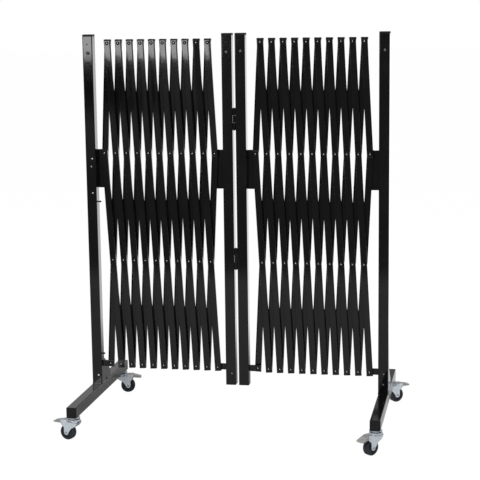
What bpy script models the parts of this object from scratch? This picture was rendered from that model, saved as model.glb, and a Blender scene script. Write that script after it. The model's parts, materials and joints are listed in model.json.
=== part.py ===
"""Expandable safety barrier on braked castors.

Two scissor-lattice panels hang between four square posts.  The end posts stand
on T-feet with swivel castors, the two centre posts are joined by a pair of
barrel hinges.  Metres, +Z up, the front of the barrier faces -Y.
"""
import math

import bmesh
import bpy
from mathutils import Matrix, Vector

for old in list(bpy.data.objects):
    bpy.data.objects.remove(old, do_unlink=True)

MM = 0.001

# Lattice: pivots, cells and slats.
CELLS = 10
PIVOT_PITCH = 425 * MM          # distance between neighbouring pivots on one slat
CELL_WIDTH = 44 * MM            # cell width in the stored, nearly closed pose
SLAT_WIDTH = 25 * MM
SLAT_DEPTH = 10 * MM
SLAT_WALL = 1.6 * MM
SLAT_END = 15 * MM              # slat end beyond its last pivot
SLAT_PLUG = 5 * MM              # closed end of the channel
SLAT_ROUND = 1.6 * MM
RIVET_R = 3.0 * MM
RIVET_HEAD_R = 4.4 * MM
RIVET_HEAD = 1.8 * MM
GAP = 0.3 * MM                  # clearance between touching pieces

# Posts.
POST_W = 40 * MM
POST_WALL = 2 * MM
POST_ROUND = 2.5 * MM
POST_ABOVE = 35 * MM            # post top above the uppermost pivot row
POST_BELOW = 67 * MM            # centre post bottom below the lowest pivot row
POST_CAP = 9 * MM
PIVOT_OUT = 34 * MM             # end pivot from the post's side face
CENTRE_GAP = 12 * MM            # between the two centre posts

# Guide plates and pivot tabs.
PLATE_T = 3 * MM
PLATE_RISE = 13 * MM            # above the guided pivot
PLATE_DROP = 139 * MM           # below the guided pivot
PLATE_EDGE = 10 * MM            # beyond the pivot
SLOT_DROP = 122 * MM
SLOT_RISE = 1.5 * MM            # room above the guide pin for closing fully
TAB_T = 5 * MM
TAB_H = 25 * MM
SINK = 0.5 * MM                 # how far a welded piece reaches into its carrier

# Feet.
FOOT_LEN = 740 * MM
FOOT_H = 42 * MM
FOOT_TOP_BELOW = 82 * MM        # foot top below the lowest pivot row
FOOT_PLUG = 62 * MM             # solid end of the foot around the castor stem
CHEEK_T = 3 * MM
CHEEK_H = 115 * MM
CHEEK_L = 75 * MM
CHEEK_NOSE = 12 * MM            # blunt end of the cheek's slope

# Castors.
WHEEL_R = 30 * MM
WHEEL_W = 24 * MM
WHEEL_HUB_W = 27 * MM
WHEEL_HUB_R = 9 * MM
WHEEL_RIM_R = 21 * MM
WHEEL_WEB_W = 14 * MM
WHEEL_ROUND = 4 * MM
AXLE_R = 4 * MM
AXLE_HEAD_R = 6.5 * MM
AXLE_HEAD = 1.5 * MM
FORK_WALL = 2.5 * MM
FORK_IN = 28.6 * MM             # clear width between the cheeks
FORK_TOP = 14 * MM              # fork top plate below the foot
FORK_CLEAR = 18 * MM            # fork top plate above the wheel
CASTOR_H = 2 * WHEEL_R + FORK_CLEAR + FORK_TOP
FORK_TOP_T = 3 * MM
FORK_LEAD = 24 * MM             # fork plate ahead of the swivel axis
FORK_BACK = 54 * MM             # behind it
FORK_DECK_BACK = 24 * MM
FORK_EAR_R = 9 * MM
TRAIL = 26 * MM
RACE_R = 23 * MM
RACE_NECK_R = 18 * MM
STEM_R = 5 * MM
STEM_UP = 26 * MM
STEM_VENT_R = 2.4 * MM          # hole from the stem's bore into the hollow foot
FOOT_INSET = 28 * MM            # swivel axis from the foot's end
PEDAL_PIVOT_X = 45 * MM
PEDAL_PIVOT_DOWN = 12 * MM      # below the fork's top
PEDAL_PIN_R = 2.5 * MM
PEDAL_T = 2 * MM
PEDAL_REACH = 84 * MM
PEDAL_BLADE_W = 37 * MM
PEDAL_BLADE_T = 3.5 * MM
PEDAL_TIP_DROP = 7 * MM
CASTOR_YAW = {"lf": 164, "lr": 15, "rf": 230, "rr": 35}   # degrees, trailing direction

# Centre hinges.
HINGE_LEN = 84 * MM
HINGE_UPPER_ABOVE_ROW2 = 142 * MM
HINGE_LOWER_ABOVE_ROW3 = 14 * MM
KNUCKLE_GAP = 0.4 * MM
KNUCKLES = 3
HINGE_PIN_R = 2.4 * MM
HINGE_WEB = 5 * MM

# Faces of the small round pieces.
RIVET_SIDES = 6
ROUND_SIDES = 12
STEM_SIDES = 8
WHEEL_STEPS = 16

# Shapes of the fork and the pedal, as shares of their own height or length.
FORK_LIP_SHARE = 0.74           # front lip of the cheek above the axle
FORK_NECK_SHARE = 0.56
FORK_WAIST_SHARE = 0.36
FORK_NECK_LEAD_SHARE = 0.72
FORK_WAIST_LEAD_SHARE = 0.1
FORK_TAIL_SHARES = [(0.64, 0.40), (0.98, 0.56), (1.0, 0.62)]   # of FORK_BACK and of the height
RACE_SHARE = 0.7                # of the gap under the foot that the race fills
NECK_SHARE = 0.5
LEVER_BACK_SHARE = 0.62
LEVER_FRONT_SHARE = 0.4
BLADE_ROOT_SHARE = 0.55

# Places worked out from the sizes.
HALF = 0.5
LEAN = math.asin(CELL_WIDTH * HALF / PIVOT_PITCH)
ROW = PIVOT_PITCH * math.cos(LEAN)
Z_FOOT = CASTOR_H                         # foot underside
Z_FOOT_TOP = Z_FOOT + FOOT_H
Z4 = Z_FOOT_TOP + FOOT_TOP_BELOW
Z = {4: Z4, 3: Z4 + ROW, 2: Z4 + 2 * ROW, 1: Z4 + 3 * ROW}
Z_TOP = Z[1] + POST_ABOVE
Z_POST_LOW = Z4 - POST_BELOW
PANEL = CELLS * CELL_WIDTH
X_CENTRE = CENTRE_GAP * HALF + POST_W * HALF          # centre post axis
X_END = X_CENTRE + POST_W + 2 * PIVOT_OUT + PANEL     # end post axis
X_LEFT0 = -X_END + POST_W * HALF + PIVOT_OUT          # left panel, first pivot
X_RIGHT0 = X_CENTRE + POST_W * HALF + PIVOT_OUT
LAYER = GAP * HALF                                    # half gap between the slat layers
SLAT_OUT = LAYER + SLAT_DEPTH                         # outer face of a slat
PLATE_IN = SLAT_OUT + GAP
PLATE_OUT = PLATE_IN + PLATE_T
HINGE_Y = -POST_W * HALF + CENTRE_GAP * HALF
KNUCKLE_R = CENTRE_GAP * HALF - GAP
FOOT_Y = FOOT_LEN * HALF

parts = bpy.data.collections.new("safety_barrier")
tools = bpy.data.collections.new("cutters")
bpy.context.scene.collection.children.link(parts)
bpy.context.scene.collection.children.link(tools)


def material(name, colour, rough, metal):
    mat = bpy.data.materials.new(name)
    mat.use_nodes = True
    node = mat.node_tree.nodes["Principled BSDF"]
    node.inputs["Base Color"].default_value = (*colour, 1)
    node.inputs["Roughness"].default_value = rough
    node.inputs["Metallic"].default_value = metal
    return mat


POST_MAT = material("post_black", (0.012, 0.012, 0.013), 0.32, 0.0)
SLAT_MAT = material("slat_black", (0.014, 0.014, 0.015), 0.28, 0.0)
ZINC_MAT = material("zinc_plate", (0.62, 0.66, 0.70), 0.34, 1.0)
PEDAL_MAT = material("pedal_zinc", (0.58, 0.60, 0.62), 0.38, 1.0)
TYRE_MAT = material("wheel_black", (0.02, 0.02, 0.024), 0.45, 0.0)


def to_mesh(bm, name):
    bmesh.ops.recalc_face_normals(bm, faces=bm.faces)
    mesh = bpy.data.meshes.new(name)
    bm.to_mesh(mesh)
    bm.free()
    return mesh


def box(lo, hi):
    """A box between two corners."""
    bm = bmesh.new()
    lo, hi = Vector(lo), Vector(hi)
    size = hi - lo
    place = Matrix.Translation((lo + hi) * HALF)
    bmesh.ops.create_cube(bm, size=1, matrix=place @ Matrix.Diagonal((*size, 1)))
    return bm


def rod(radius, a, b, sides, axis="Z", at=(0, 0)):
    """A closed cylinder along an axis from a to b, with at as its place on the other two axes in order."""
    bm = bmesh.new()
    turn = {"Z": Matrix.Identity(4), "Y": Matrix.Rotation(math.radians(-90), 4, "X"),
            "X": Matrix.Rotation(math.radians(90), 4, "Y")}[axis]
    mid = (a + b) * HALF
    place = {"Z": (at[0], at[1], mid), "Y": (at[0], mid, at[1]), "X": (mid, at[0], at[1])}[axis]
    spin = Matrix.Rotation(math.pi / sides, 4, "Z")
    bmesh.ops.create_cone(bm, cap_ends=True, segments=sides, radius1=radius, radius2=radius, depth=b - a,
                          matrix=Matrix.Translation(place) @ turn @ spin)
    return bm


def helper(bm, name):
    obj = bpy.data.objects.new(name, to_mesh(bm, name))
    obj.hide_render = True
    obj.display_type = "WIRE"
    tools.objects.link(obj)
    return obj


def outline(points, thickness, name):
    """A flat outline in X and Z, thick along Y about Y = 0, as a mesh."""
    curve = bpy.data.curves.new(name, "CURVE")
    curve.dimensions = "2D"
    curve.fill_mode = "BOTH"
    curve.extrude = thickness * HALF
    line = curve.splines.new("POLY")
    line.points.add(len(points) - 1)
    for point, (x, z) in zip(line.points, points):
        point.co = (x, z, 0, 1)
    line.use_cyclic_u = True
    obj = bpy.data.objects.new(name, curve)
    tools.objects.link(obj)
    bpy.context.view_layer.update()
    evaluated = obj.evaluated_get(bpy.context.evaluated_depsgraph_get())
    mesh = bpy.data.meshes.new_from_object(evaluated)
    bpy.data.objects.remove(obj, do_unlink=True)
    bm = bmesh.new()
    bm.from_mesh(mesh)
    bmesh.ops.remove_doubles(bm, verts=bm.verts, dist=0.01 * MM)
    bmesh.ops.transform(bm, matrix=Matrix.Rotation(math.radians(90), 4, "X"), verts=bm.verts)
    return bm


def shift(bm, offset):
    bmesh.ops.translate(bm, vec=Vector(offset), verts=bm.verts)
    return bm


def bevel_edges(bm, width, steps, test):
    """Round the edges whose two ends pass the test."""
    edges = [e for e in bm.edges if test(e)]
    bmesh.ops.bevel(bm, geom=edges, offset=width, segments=steps, affect="EDGES", profile=0.5)
    return bm


def along(axis):
    def test(edge):
        d = edge.verts[1].co - edge.verts[0].co
        return abs(d[axis]) > 0.99 * d.length
    return test


def combine(name, base, adds=(), cuts=()):
    """Boolean-build one mesh: the base, united with adds, less cuts.  Returns the finished mesh data."""
    obj = bpy.data.objects.new(name + "_work", to_mesh(base, name))
    tools.objects.link(obj)
    used = []
    for kind, shapes in (("UNION", adds), ("DIFFERENCE", cuts)):
        for i, shape in enumerate(shapes):
            tool = helper(shape, f"{name}_{kind.lower()}_{i}")
            mod = obj.modifiers.new(f"{kind}_{i}", "BOOLEAN")
            mod.operation = kind
            mod.solver = "EXACT"
            mod.object = tool
            used.append(tool)
    bpy.context.view_layer.update()
    evaluated = obj.evaluated_get(bpy.context.evaluated_depsgraph_get())
    mesh = bpy.data.meshes.new_from_object(evaluated)
    mesh.name = name
    for item in [obj] + used:
        bpy.data.objects.remove(item, do_unlink=True)
    bm = bmesh.new()
    bm.from_mesh(mesh)
    bmesh.ops.remove_doubles(bm, verts=bm.verts, dist=0.005 * MM)
    bmesh.ops.dissolve_limit(bm, angle_limit=math.radians(0.2), verts=bm.verts, edges=bm.edges)
    bmesh.ops.triangulate(bm, faces=[f for f in bm.faces if len(f.verts) > 4])
    bm.to_mesh(mesh)
    bm.free()
    return mesh


def add_part(name, mesh, mat, location=(0, 0, 0), rotation=(0, 0, 0), parent=None):
    obj = bpy.data.objects.new(name, mesh)
    if not mesh.materials:
        mesh.materials.append(mat)
    obj.location = location
    obj.rotation_euler = rotation
    obj.parent = parent
    parts.objects.link(obj)
    mesh.shade_smooth()
    mesh.set_sharp_from_angle(angle=math.radians(35))
    return obj


def anchor(name, location, rotation=(0, 0, 0), parent=None):
    empty = bpy.data.objects.new(name, None)
    empty.location = location
    empty.rotation_euler = rotation
    empty.parent = parent
    parts.objects.link(empty)
    return empty


HOLE_R = (RIVET_R + GAP) / math.cos(math.pi / RIVET_SIDES)


def channel(pivots):
    """A slat as a rounded channel, open towards +Y, with its lowest pivot at the origin."""
    top = (pivots - 1) * PIVOT_PITCH + SLAT_END
    half = SLAT_WIDTH * HALF
    bm = box((-half, -SLAT_OUT, -SLAT_END), (half, -LAYER, top))
    outer = -SLAT_OUT * 0.999

    def front_long(edge):
        return along(2)(edge) and all(v.co.y < outer for v in edge.verts)
    bevel_edges(bm, SLAT_ROUND, 1, front_long)
    trough = box((-half + SLAT_WALL, -SLAT_OUT + SLAT_WALL, -SLAT_END + SLAT_PLUG),
                 (half - SLAT_WALL, SLAT_DEPTH, top - SLAT_PLUG))
    return bm, trough


def front_slat(name, pivots, long_pin=None):
    """Front slat: each rivet runs from its outer head through the back slat to a head behind."""
    body, trough = channel(pivots)
    first = combine(name + "_channel", body, cuts=[trough])
    bm = bmesh.new()
    bm.from_mesh(first)
    adds = []
    for i in range(pivots):
        z = i * PIVOT_PITCH
        reach = SLAT_OUT + GAP
        if i == long_pin:
            reach = PLATE_OUT + GAP
        front = -SLAT_OUT
        adds.append(rod(RIVET_HEAD_R, front - RIVET_HEAD, front + SLAT_WALL * HALF, RIVET_SIDES, "Y", (0, z)))
        adds.append(rod(RIVET_R, -SLAT_OUT, reach + RIVET_HEAD * HALF, RIVET_SIDES, "Y", (0, z)))
        adds.append(rod(RIVET_HEAD_R, reach, reach + RIVET_HEAD, RIVET_SIDES, "Y", (0, z)))
    return combine(name, bm, adds=adds)


def back_slat(name, pivots):
    """Back slat: the channel turned round, with a clearance hole at each pivot."""
    body, trough = channel(pivots)
    cuts = [trough]
    for i in range(pivots):
        cuts.append(rod(HOLE_R, -SLAT_OUT - SLAT_WALL, -LAYER, RIVET_SIDES, "Y", (0, i * PIVOT_PITCH)))
    mesh = combine(name, body, cuts=cuts)
    mesh.transform(Matrix.Rotation(math.pi, 4, "Z"))
    return mesh


FRONT_FULL = front_slat("front_full", 4)
FRONT_FIRST = front_slat("front_first", 3, long_pin=2)
FRONT_LAST = front_slat("front_last", 2, long_pin=0)
BACK_FULL = back_slat("back_full", 4)
BACK_FIRST = back_slat("back_first", 2)
BACK_LAST = back_slat("back_last", 3)


def lattice(side, x0):
    """Place one panel's slats; k counts cells from the panel's first end pivot."""
    for j in range(1, CELLS + 2):
        low_row = 2 if j == CELLS + 1 else 4
        k = j - 1 if j == CELLS + 1 else j
        mesh = {1: FRONT_FIRST, CELLS + 1: FRONT_LAST}.get(j, FRONT_FULL)
        place = (x0 + k * CELL_WIDTH, 0, Z[low_row])
        add_part(f"{side}_slat_front_{j:02d}", mesh, SLAT_MAT, place, (0, -LEAN, 0))
    for j in range(-1, CELLS):
        low_row = 2 if j == -1 else 4
        k = 0 if j == -1 else j
        mesh = {-1: BACK_FIRST, CELLS - 1: BACK_LAST}.get(j, BACK_FULL)
        place = (x0 + k * CELL_WIDTH, 0, Z[low_row])
        add_part(f"{side}_slat_back_{j + 2:02d}", mesh, SLAT_MAT, place, (0, LEAN, 0))


def tube(lo, hi, axis, wall, radius, ends=(False, False)):
    """A rounded square tube as (outer, inner cutter); ends tells which ends stay closed by one wall."""
    outer = bevel_edges(box(lo, hi), radius, 2, along(axis))
    a, b = list(lo), list(hi)
    for i in range(3):
        if i != axis:
            a[i] += wall
            b[i] -= wall
    a[axis] += wall if ends[0] else -wall
    b[axis] -= wall if ends[1] else -wall
    return outer, box(a, b)


def post_fittings(x, toward, front_tab):
    """Guide plate, its slot and the pivot tab on a post at x; toward is +1 or -1 to the lattice."""
    face = x + toward * POST_W * HALF
    pivot = face + toward * PIVOT_OUT
    end = pivot + toward * PLATE_EDGE
    root = face - toward * (POST_WALL + SINK)
    x_lo, x_hi = sorted((root, end))
    plate = box((x_lo, PLATE_IN, Z[2] - PLATE_DROP), (x_hi, PLATE_OUT, Z[2] + PLATE_RISE))
    slot_r = (RIVET_R + GAP) / math.cos(math.pi / RIVET_SIDES)
    slot = box((pivot - RIVET_R - GAP, PLATE_IN - PLATE_T, Z[2] - SLOT_DROP),
               (pivot + RIVET_R + GAP, PLATE_OUT + PLATE_T, Z[2] + SLOT_RISE))
    cut_in, cut_out = PLATE_IN - PLATE_T, PLATE_OUT + PLATE_T
    slot_top = rod(slot_r, cut_in, cut_out, RIVET_SIDES, "Y", (pivot, Z[2] + SLOT_RISE))
    slot_low = rod(slot_r, cut_in, cut_out, RIVET_SIDES, "Y", (pivot, Z[2] - SLOT_DROP))
    tab_end = pivot + toward * (SLAT_WIDTH * HALF - GAP)
    t_lo, t_hi = sorted((root, tab_end))
    if front_tab:
        tab = box((t_lo, -LAYER - TAB_T, Z4 - TAB_H * HALF), (t_hi, -LAYER, Z4 + TAB_H * HALF))
        front = -LAYER - TAB_T
        pin = [rod(RIVET_HEAD_R, front - RIVET_HEAD, front + TAB_T * HALF, RIVET_SIDES, "Y", (pivot, Z4)),
               rod(RIVET_R, front, SLAT_OUT + GAP + RIVET_HEAD * HALF, RIVET_SIDES, "Y", (pivot, Z4)),
               rod(RIVET_HEAD_R, SLAT_OUT + GAP, SLAT_OUT + GAP + RIVET_HEAD, RIVET_SIDES, "Y", (pivot, Z4))]
        holes = []
    else:
        tab = box((t_lo, SLAT_OUT - TAB_T, Z4 - TAB_H * HALF), (t_hi, SLAT_OUT, Z4 + TAB_H * HALF))
        pin = []
        holes = [rod(HOLE_R, -SLAT_OUT, SLAT_OUT + TAB_T, RIVET_SIDES, "Y", (pivot, Z4))]
    plate_cut = combine("plate_cut", plate, cuts=[slot, slot_top, slot_low])
    plate_bm = bmesh.new()
    plate_bm.from_mesh(plate_cut)
    return [plate_bm, tab] + pin, holes


def hinge_knuckles(side):
    """Knuckles of both hinges for the left (-1) or right (+1) centre post, with their pins or bores."""
    adds, cuts = [], []
    third = (HINGE_LEN - (KNUCKLES - 1) * KNUCKLE_GAP) / KNUCKLES
    step = third + KNUCKLE_GAP
    for middle in (Z[2] + HINGE_UPPER_ABOVE_ROW2, Z[3] + HINGE_LOWER_ABOVE_ROW3):
        low = middle - HINGE_LEN * HALF
        spans = [(low + i * step, low + i * step + third) for i in range(KNUCKLES)]
        mine = [spans[0], spans[2]] if side < 0 else [spans[1]]
        for a, b in mine:
            adds.append(rod(KNUCKLE_R, a, b, ROUND_SIDES, "Z", (0, HINGE_Y)))
            edge = side * (CENTRE_GAP * HALF + SINK)
            lo_x, hi_x = sorted((0, edge))
            adds.append(box((lo_x, HINGE_Y - HINGE_WEB * HALF, a), (hi_x, HINGE_Y + HINGE_WEB * HALF, b)))
        if side < 0:
            ends = spans[0][1] - third * HALF, spans[2][0] + third * HALF
            adds.append(rod(HINGE_PIN_R, *ends, ROUND_SIDES, "Z", (0, HINGE_Y)))
        else:
            bore = (HINGE_PIN_R + GAP) / math.cos(math.pi / ROUND_SIDES)
            ends = spans[1][0] - third * HALF, spans[1][1] + third * HALF
            cuts.append(rod(bore, *ends, ROUND_SIDES, "Z", (0, HINGE_Y)))
    return adds, cuts


def centre_post(name, side):
    x = side * X_CENTRE
    half = POST_W * HALF
    outer, inner = tube((x - half, -half, Z_POST_LOW), (x + half, half, Z_TOP), 2, POST_WALL, POST_ROUND,
                        ends=(False, True))
    inner_top = Z_TOP - POST_CAP
    for v in inner.verts:
        if v.co.z > Z_TOP - 2 * POST_WALL:
            v.co.z = inner_top
    shell = combine(name + "_tube", outer, cuts=[inner])
    bm = bmesh.new()
    bm.from_mesh(shell)
    adds, cuts = post_fittings(x, side, front_tab=side > 0)
    more, bores = hinge_knuckles(side)
    mesh = combine(name, bm, adds=adds + more, cuts=cuts + bores)
    return add_part(name, mesh, POST_MAT)


def end_post(name, side):
    """End post on its foot: hollow post over a hollow foot whose solid ends take the castor stems."""
    x = side * X_END
    half = POST_W * HALF
    corner, far_corner = (x - half, -half, Z_FOOT_TOP - SINK), (x + half, half, Z_TOP)
    outer, inner = tube(corner, far_corner, 2, POST_WALL, POST_ROUND)
    for v in inner.verts:
        v.co.z = Z_TOP - POST_CAP if v.co.z > Z_FOOT_TOP + FOOT_H else Z_FOOT + POST_WALL + SINK
    foot = box((x - half, -FOOT_Y, Z_FOOT), (x + half, FOOT_Y, Z_FOOT_TOP))
    bevel_edges(foot, POST_ROUND, 2, along(1))
    foot_in = box((x - half + POST_WALL, -FOOT_Y + FOOT_PLUG, Z_FOOT + POST_WALL),
                  (x + half - POST_WALL, FOOT_Y - FOOT_PLUG, Z_FOOT_TOP - POST_WALL))
    cheeks = []
    low, back = Z_FOOT_TOP - SINK, half - SINK
    points = [(back, low), (half + CHEEK_L, low), (half + CHEEK_L, Z_FOOT_TOP + CHEEK_NOSE),
              (half + CHEEK_NOSE, Z_FOOT_TOP + CHEEK_H), (back, Z_FOOT_TOP + CHEEK_H)]
    for turn in (-1, 1):
        cheek = outline(points, CHEEK_T, "cheek")
        bmesh.ops.transform(cheek, matrix=Matrix.Rotation(math.radians(90), 4, "Z"), verts=cheek.verts)
        cheeks.append(shift(cheek, (x + turn * (half - CHEEK_T * HALF - POST_ROUND * HALF), 0, 0)))
    stems = []
    for end in (-1, 1):
        y = end * (FOOT_Y - FOOT_INSET)
        bore = (STEM_R + GAP) / math.cos(math.pi / ROUND_SIDES)
        stems.append(rod(bore, Z_FOOT - POST_WALL, Z_FOOT + STEM_UP + GAP, ROUND_SIDES, "Z", (x, y)))
        reach = sorted((end * (FOOT_Y - FOOT_INSET), end * (FOOT_Y - FOOT_PLUG - POST_WALL)))
        stems.append(rod(STEM_VENT_R, *reach, RIVET_SIDES, "Y", (x, Z_FOOT + FOOT_H * HALF)))
    adds, cuts = post_fittings(x, -side, front_tab=side < 0)
    mesh = combine(name, outer, adds=[foot] + cheeks + adds, cuts=[inner, foot_in] + stems + cuts)
    return add_part(name, mesh, POST_MAT)


def castor(code, x, y):
    """One castor: swivel anchor at the foot, fork, wheel and pedal, trailing along the anchor's +X."""
    swivel = anchor(f"swivel_{code}", (x, y, 0), (0, 0, math.radians(CASTOR_YAW[code])))
    top = CASTOR_H - FORK_TOP
    if "fork" not in shapes:
        turns = [math.radians(a) for a in range(180, 361, 45)]
        ear = [(TRAIL + FORK_EAR_R * math.cos(a), WHEEL_R + FORK_EAR_R * math.sin(a)) for a in turns]
        rise = top - WHEEL_R
        tail = [(FORK_BACK * share, WHEEL_R + rise * up) for share, up in FORK_TAIL_SHARES]
        points = [(-FORK_LEAD, top), (-FORK_LEAD, WHEEL_R + rise * FORK_LIP_SHARE),
                  (-FORK_LEAD * FORK_NECK_LEAD_SHARE, WHEEL_R + rise * FORK_NECK_SHARE),
                  (FORK_LEAD * FORK_WAIST_LEAD_SHARE, WHEEL_R + rise * FORK_WAIST_SHARE)]
        points += ear + tail + [(FORK_BACK, top)]
        off = (FORK_IN + FORK_WALL) * HALF
        cheeks = [shift(outline(points, FORK_WALL, "fork_cheek"), (0, s * off, 0)) for s in (-1, 1)]
        wide = off + FORK_WALL * HALF
        deck = box((-FORK_LEAD, -wide, top - FORK_TOP_T), (FORK_DECK_BACK, wide, top))
        race = rod(RACE_R, top - SINK, top + FORK_TOP * RACE_SHARE, ROUND_SIDES)
        neck = rod(RACE_NECK_R, top + FORK_TOP * NECK_SHARE, CASTOR_H - GAP, ROUND_SIDES)
        stem = rod(STEM_R, top, CASTOR_H + STEM_UP, STEM_SIDES)
        hub = (TRAIL, WHEEL_R)
        axle = rod(AXLE_R, -wide - AXLE_HEAD * HALF, wide + AXLE_HEAD * HALF, STEM_SIDES, "Y", hub)
        heads = []
        for turn in (-1, 1):
            ends = sorted((turn * (wide - FORK_WALL * HALF), turn * (wide + AXLE_HEAD)))
            heads.append(rod(AXLE_HEAD_R, *ends, ROUND_SIDES, "Y", hub))
        pivot_z = top - PEDAL_PIVOT_DOWN
        bore = (PEDAL_PIN_R + GAP) / math.cos(math.pi / STEM_SIDES)
        pin_hole = rod(bore, -wide * 2, wide * 2, STEM_SIDES, "Y", (PEDAL_PIVOT_X, pivot_z))
        bosses = [race, neck, stem, axle] + heads
        shapes["fork"] = combine("castor_fork", deck, adds=cheeks + bosses, cuts=[pin_hole])
        shapes["wheel"] = wheel_mesh()
        shapes["pedal"] = pedal_mesh(top, wide)
    add_part(f"castor_fork_{code}", shapes["fork"], ZINC_MAT, parent=swivel)
    axle_at = anchor(f"axle_{code}", (TRAIL, 0, WHEEL_R), parent=swivel)
    add_part(f"castor_wheel_{code}", shapes["wheel"], TYRE_MAT, parent=axle_at)
    pedal_at = anchor(f"pedal_pivot_{code}", (PEDAL_PIVOT_X, 0, top - PEDAL_PIVOT_DOWN), parent=swivel)
    add_part(f"castor_pedal_{code}", shapes["pedal"], PEDAL_MAT, parent=pedal_at)


def wheel_mesh():
    """The wheel turned about its axle: hub, dished web and rounded tread."""
    bore = (AXLE_R + GAP) / math.cos(math.pi / ROUND_SIDES)
    hub, web, rim = WHEEL_HUB_W * HALF, WHEEL_WEB_W * HALF, WHEEL_W * HALF
    half_profile = [(bore, hub), (WHEEL_HUB_R, hub), (WHEEL_HUB_R + hub - web, web), (WHEEL_RIM_R, rim),
                    (WHEEL_R - WHEEL_ROUND, rim), (WHEEL_R, rim - WHEEL_ROUND)]
    profile = half_profile + [(r, -y) for r, y in reversed(half_profile)]
    bm = bmesh.new()
    verts = [bm.verts.new((r, y, 0)) for r, y in profile]
    edges = [bm.edges.new((verts[i], verts[(i + 1) % len(verts)])) for i in range(len(verts))]
    bmesh.ops.spin(bm, geom=verts + edges, cent=(0, 0, 0), axis=(0, 1, 0), dvec=(0, 0, 0), angle=math.tau,
                   steps=WHEEL_STEPS, use_merge=True)
    bmesh.ops.remove_doubles(bm, verts=bm.verts, dist=0.005 * MM)
    return to_mesh(bm, "castor_wheel")


def pedal_mesh(top, wide):
    """Brake pedal about its pivot: a folded lever between the cheeks, widening to a blade behind them."""
    px, pz = PEDAL_PIVOT_X, top - PEDAL_PIVOT_DOWN
    half_in = FORK_IN * HALF - GAP
    x0, x1 = FORK_DECK_BACK + 2 * GAP, FORK_BACK + 2 * GAP
    crown = top - GAP
    under = pz - PEDAL_PIN_R - PEDAL_T
    deep = crown - under
    lever = [(x0, crown), (x1 + PEDAL_T, crown), (x1 + PEDAL_T, crown - deep * LEVER_BACK_SHARE),
             (px + PEDAL_PIN_R, under), (px - PEDAL_PIN_R, under), (x0, crown - deep * LEVER_FRONT_SHARE)]
    body = outline([(x - px, z - pz) for x, z in lever], half_in * 2, "pedal_body")
    tip = crown - PEDAL_TIP_DROP
    blade_pts = [(x1, crown - SINK), (PEDAL_REACH, tip + PEDAL_BLADE_T * HALF),
                 (PEDAL_REACH, tip - PEDAL_BLADE_T * HALF), (x1, crown - deep * BLADE_ROOT_SHARE)]
    blade = outline([(x - px, z - pz) for x, z in blade_pts], PEDAL_BLADE_W, "pedal_blade")
    pocket_pts = [(x0 + PEDAL_T * 2, crown - PEDAL_T), (x1 + PEDAL_T * HALF, crown - PEDAL_T - SINK),
                  (PEDAL_REACH - PEDAL_T * 3, tip - SINK),
                  (PEDAL_REACH - PEDAL_T * 5, under - PEDAL_T * 3), (x0 + PEDAL_T * 2, under - PEDAL_T * 3)]
    pocket = outline([(x - px, z - pz) for x, z in pocket_pts], half_in * 2 - PEDAL_T * 2, "pedal_pocket")
    pin = rod(PEDAL_PIN_R, -wide, wide, STEM_SIDES, "Y", (0, 0))
    hollow = combine("pedal_hollow", body, adds=[blade], cuts=[pocket])
    bm = bmesh.new()
    bm.from_mesh(hollow)
    return combine("castor_pedal", bm, adds=[pin])


shapes = {}
lattice("left", X_LEFT0)
lattice("right", X_RIGHT0)
centre_post("left_centre_post", -1)
centre_post("right_centre_post", 1)
end_post("left_end_post", -1)
end_post("right_end_post", 1)
for code, cx, cy in (("lf", -X_END, -1), ("lr", -X_END, 1), ("rf", X_END, -1), ("rr", X_END, 1)):
    castor(code, cx, cy * (FOOT_Y - FOOT_INSET))

# The origin lies on the floor in the middle of the whole standing outline.
bpy.context.view_layer.update()
corners = [obj.matrix_world @ v.co for obj in parts.objects if obj.type == "MESH" for v in obj.data.vertices]
middle = [(max(c[i] for c in corners) + min(c[i] for c in corners)) * HALF for i in (0, 1)]
for obj in parts.objects:
    if obj.parent is None:
        obj.location.x -= middle[0]
        obj.location.y -= middle[1]

pedal_pivot = (PEDAL_PIVOT_X, CASTOR_H - FORK_TOP - PEDAL_PIVOT_DOWN)
print("places", {"offset": middle, "lean_deg": math.degrees(LEAN), "row": ROW, "z4": Z4, "top": Z_TOP,
                 "cell": CELL_WIDTH, "left0": X_LEFT0, "right0": X_RIGHT0, "end": X_END, "hinge_y": HINGE_Y,
                 "swivel_y": FOOT_Y - FOOT_INSET, "yaw": CASTOR_YAW, "trail": TRAIL, "wheel_r": WHEEL_R,
                 "pedal": pedal_pivot})
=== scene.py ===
# %% [markdown]
# # A folding lattice barrier on castors
#
# Two scissor panels of flat black slats hang between four square posts.  The end posts
# stand on long feet with braked swivel castors, and barrel hinges join the centre
# posts.  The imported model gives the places; this file adds rolled edges, rivets, caps,
# screws and finishes.

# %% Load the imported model
import json

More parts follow.
